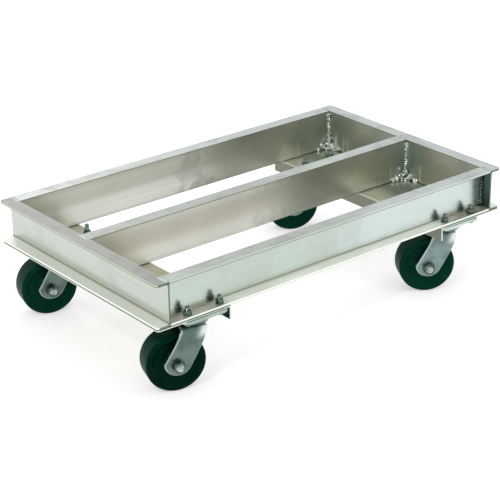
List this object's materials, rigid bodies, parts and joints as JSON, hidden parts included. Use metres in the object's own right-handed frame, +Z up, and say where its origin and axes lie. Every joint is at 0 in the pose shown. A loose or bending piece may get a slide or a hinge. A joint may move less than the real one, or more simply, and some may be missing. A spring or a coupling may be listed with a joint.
{
  "type": "caster dolly",
  "caption": "Low open-deck dolly: a welded aluminium channel frame carried at its corners by bolted-on swivel casters with dark solid wheels.",
  "frame": {"origin": "on the floor, straight below the middle of the deck, which is also the middle of the part's box to within 5 mm, because the casters rest turned to one side", "axes": "+X along the deck toward its right end, -Y toward its front side, +Z up"},
  "size_m": [0.762, 0.4729, 0.2159],
  "materials": {
    "aluminium": "mill finish, brushed lengthwise",
    "caster_zinc": "satin zinc plate",
    "bolt_zinc": "bright zinc plate",
    "dark_steel": "oiled dark steel",
    "wheel_plastic": "glossy, very dark green"
  },
  "bodies": {
    "deck": {"left_end_rail": "aluminium", "right_end_rail": "aluminium", "front_side_rail": "aluminium", "rear_side_rail": "aluminium", "centre_rail": "aluminium", "left_cross_angle": "aluminium", "right_cross_angle": "aluminium", "front_left_top_plate": "caster_zinc", "front_left_race_cup": "caster_zinc", "front_left_kingpin": "dark_steel", "front_left_mounting_bolt_1": "bolt_zinc", "front_left_mounting_bolt_2": "bolt_zinc", "front_left_mounting_bolt_3": "bolt_zinc", "front_left_mounting_bolt_4": "bolt_zinc", "rear_left_top_plate": "caster_zinc", "rear_left_race_cup": "caster_zinc", "rear_left_kingpin": "dark_steel", "rear_left_mounting_bolt_1": "bolt_zinc", "rear_left_mounting_bolt_2": "bolt_zinc", "rear_left_mounting_bolt_3": "bolt_zinc", "rear_left_mounting_bolt_4": "bolt_zinc", "front_right_top_plate": "caster_zinc", "front_right_race_cup": "caster_zinc", "front_right_kingpin": "dark_steel", "front_right_mounting_bolt_1": "bolt_zinc", "front_right_mounting_bolt_2": "bolt_zinc", "front_right_mounting_bolt_3": "bolt_zinc", "front_right_mounting_bolt_4": "bolt_zinc", "rear_right_top_plate": "caster_zinc", "rear_right_race_cup": "caster_zinc", "rear_right_kingpin": "dark_steel", "rear_right_mounting_bolt_1": "bolt_zinc", "rear_right_mounting_bolt_2": "bolt_zinc", "rear_right_mounting_bolt_3": "bolt_zinc", "rear_right_mounting_bolt_4": "bolt_zinc"},
    "front_left_swivel": {"front_left_fork": "caster_zinc", "front_left_ball_cage": "dark_steel", "front_left_axle_bolt": "bolt_zinc", "front_left_axle_nut": "bolt_zinc", "front_left_axle_bushing": "dark_steel"},
    "front_left_wheel": {"front_left_wheel": "wheel_plastic"},
    "rear_left_swivel": {"rear_left_fork": "caster_zinc", "rear_left_ball_cage": "dark_steel", "rear_left_axle_bolt": "bolt_zinc", "rear_left_axle_nut": "bolt_zinc", "rear_left_axle_bushing": "dark_steel"},
    "rear_left_wheel": {"rear_left_wheel": "wheel_plastic"},
    "front_right_swivel": {"front_right_fork": "caster_zinc", "front_right_ball_cage": "dark_steel", "front_right_axle_bolt": "bolt_zinc", "front_right_axle_nut": "bolt_zinc", "front_right_axle_bushing": "dark_steel"},
    "front_right_wheel": {"front_right_wheel": "wheel_plastic"},
    "rear_right_swivel": {"rear_right_fork": "caster_zinc", "rear_right_ball_cage": "dark_steel", "rear_right_axle_bolt": "bolt_zinc", "rear_right_axle_nut": "bolt_zinc", "rear_right_axle_bushing": "dark_steel"},
    "rear_right_wheel": {"rear_right_wheel": "wheel_plastic"}
  },
  "joints": [
    {"name": "front_left_caster_swivel", "type": "hinge", "parent": "deck", "child": "front_left_swivel", "pos_m": [-0.2844, -0.1875, 0.1159], "axis": [0, 0, 1], "continuous": true},
    {"name": "front_left_wheel_roll", "type": "hinge", "parent": "front_left_swivel", "child": "front_left_wheel", "pos_m": [-0.31708, -0.17644, 0.0508], "axis": [0.3206, 0.9472, 0], "continuous": true},
    {"name": "rear_left_caster_swivel", "type": "hinge", "parent": "deck", "child": "rear_left_swivel", "pos_m": [-0.2844, 0.1875, 0.1159], "axis": [0, 0, 1], "continuous": true},
    {"name": "rear_left_wheel_roll", "type": "hinge", "parent": "rear_left_swivel", "child": "rear_left_wheel", "pos_m": [-0.31782, 0.19608, 0.0508], "axis": [0.2487, 0.9686, 0], "continuous": true},
    {"name": "front_right_caster_swivel", "type": "hinge", "parent": "deck", "child": "front_right_swivel", "pos_m": [0.2844, -0.1875, 0.1159], "axis": [0, 0, 1], "continuous": true},
    {"name": "front_right_wheel_roll", "type": "hinge", "parent": "front_right_swivel", "child": "front_right_wheel", "pos_m": [0.25449, -0.1703, 0.0508], "axis": [0.4985, 0.8669, 0], "continuous": true},
    {"name": "rear_right_caster_swivel", "type": "hinge", "parent": "deck", "child": "rear_right_swivel", "pos_m": [0.2844, 0.1875, 0.1159], "axis": [0, 0, 1], "continuous": true},
    {"name": "rear_right_wheel_roll", "type": "hinge", "parent": "rear_right_swivel", "child": "rear_right_wheel", "pos_m": [0.25288, 0.20153, 0.0508], "axis": [0.4067, 0.9135, 0], "continuous": true}
  ]
}
